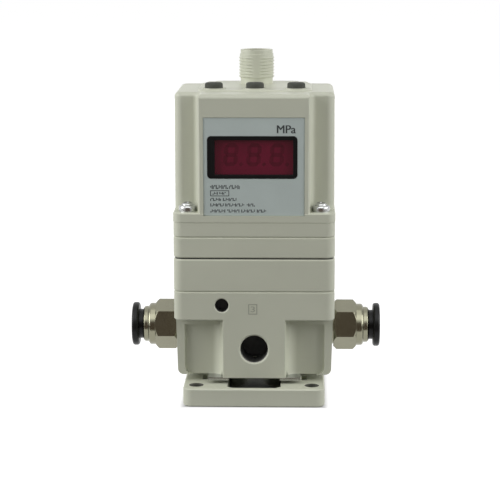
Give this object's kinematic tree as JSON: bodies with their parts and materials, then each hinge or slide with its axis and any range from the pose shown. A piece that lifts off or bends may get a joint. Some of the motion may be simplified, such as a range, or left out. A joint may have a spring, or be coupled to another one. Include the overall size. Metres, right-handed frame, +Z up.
{
  "type": "electro pneumatic regulator",
  "caption": "Compact pressure regulator with a stacked grey body on a flat bracket, a digital display, keys, a threaded plug connector on top and push-in tube fittings at the sides.",
  "frame": {"origin": "the bracket's underside, below the middle of the body", "axes": "+Z up, the display faces -Y, the supply port faces -X and the outlet port +X"},
  "size_m": [0.08, 0.062, 0.1077],
  "materials": {
    "paint": "satin warm grey paint over a fine cast texture",
    "moulding": "satin warm grey moulding",
    "black_plastic": "black moulding",
    "key_plastic": "dark grey moulding",
    "zinc_steel": "bright zinc plated steel",
    "nickel": "turned and nickel plated brass",
    "brass": "turned brass",
    "rubber": "black rubber",
    "faceplate_film": "satin grey film",
    "red_lens": "dark red see-through plastic",
    "circuit_board": "green solder resist"
  },
  "bodies": {
    "regulator": {"mounting_bracket": "paint", "valve_body": "paint", "diaphragm_housing": "paint", "pilot_block": "paint", "board_base": "moulding", "cover": "moulding", "connector_shell": "moulding", "display_bezel": "black_plastic", "display_module": "black_plastic", "key_switches": "black_plastic", "connector_insert": "black_plastic", "supply_solenoid": "black_plastic", "exhaust_solenoid": "black_plastic", "valve_guide": "zinc_steel", "bracket_screws": "zinc_steel", "retaining_plate": "zinc_steel", "stack_screws": "zinc_steel", "cover_screws": "zinc_steel", "pressure_sensor": "zinc_steel", "valve_spring": "zinc_steel", "fitting_left": "nickel", "fitting_right": "nickel", "connector_pins": "brass", "collet_left": "brass", "collet_right": "brass", "guide_seal": "rubber", "stack_gasket": "rubber", "tube_seal_left": "rubber", "tube_seal_right": "rubber", "diaphragm": "rubber", "faceplate": "faceplate_film", "display_lens": "red_lens", "control_board": "circuit_board", "key_board": "circuit_board"},
    "key_left": {"key_left": "key_plastic"},
    "key_middle": {"key_middle": "key_plastic"},
    "key_right": {"key_right": "key_plastic"},
    "release_left": {"release_ring_left": "black_plastic"},
    "release_right": {"release_ring_right": "black_plastic"},
    "stem": {"valve_stem": "zinc_steel", "upper_plate": "zinc_steel", "lower_plate": "zinc_steel", "diaphragm_nut": "zinc_steel"},
    "supply_valve": {"supply_valve": "brass"}
  },
  "joints": [
    {"name": "key_left_press", "type": "slide", "parent": "regulator", "child": "key_left", "axis": [0, 0, -1], "range_m": [0, 0.0005], "stiffness_N_per_m": 600, "springref_m": -0.0005},
    {"name": "key_middle_press", "type": "slide", "parent": "regulator", "child": "key_middle", "axis": [0, 0, -1], "range_m": [0, 0.0005], "stiffness_N_per_m": 600, "springref_m": -0.0005},
    {"name": "key_right_press", "type": "slide", "parent": "regulator", "child": "key_right", "axis": [0, 0, -1], "range_m": [0, 0.0005], "stiffness_N_per_m": 600, "springref_m": -0.0005},
    {"name": "release_left_press", "type": "slide", "parent": "regulator", "child": "release_left", "axis": [1, 0, 0], "range_m": [0, 0.001], "stiffness_N_per_m": 1000, "springref_m": -0.0005},
    {"name": "release_right_press", "type": "slide", "parent": "regulator", "child": "release_right", "axis": [-1, 0, 0], "range_m": [0, 0.001], "stiffness_N_per_m": 1000, "springref_m": -0.0005},
    {"name": "stem_stroke", "type": "slide", "parent": "regulator", "child": "stem", "axis": [0, 0, -1], "range_m": [0, 0.0012], "deforming": ["diaphragm"]},
    {"name": "valve_stroke", "type": "slide", "parent": "regulator", "child": "supply_valve", "axis": [0, 0, -1], "range_m": [0, 0.0012], "stiffness_N_per_m": 1500, "springref_m": -0.002, "deforming": ["valve_spring"]}
  ],
  "couplings": [
    {"joint": "valve_stroke", "follows": "stem_stroke", "ratio": 1}
  ]
}
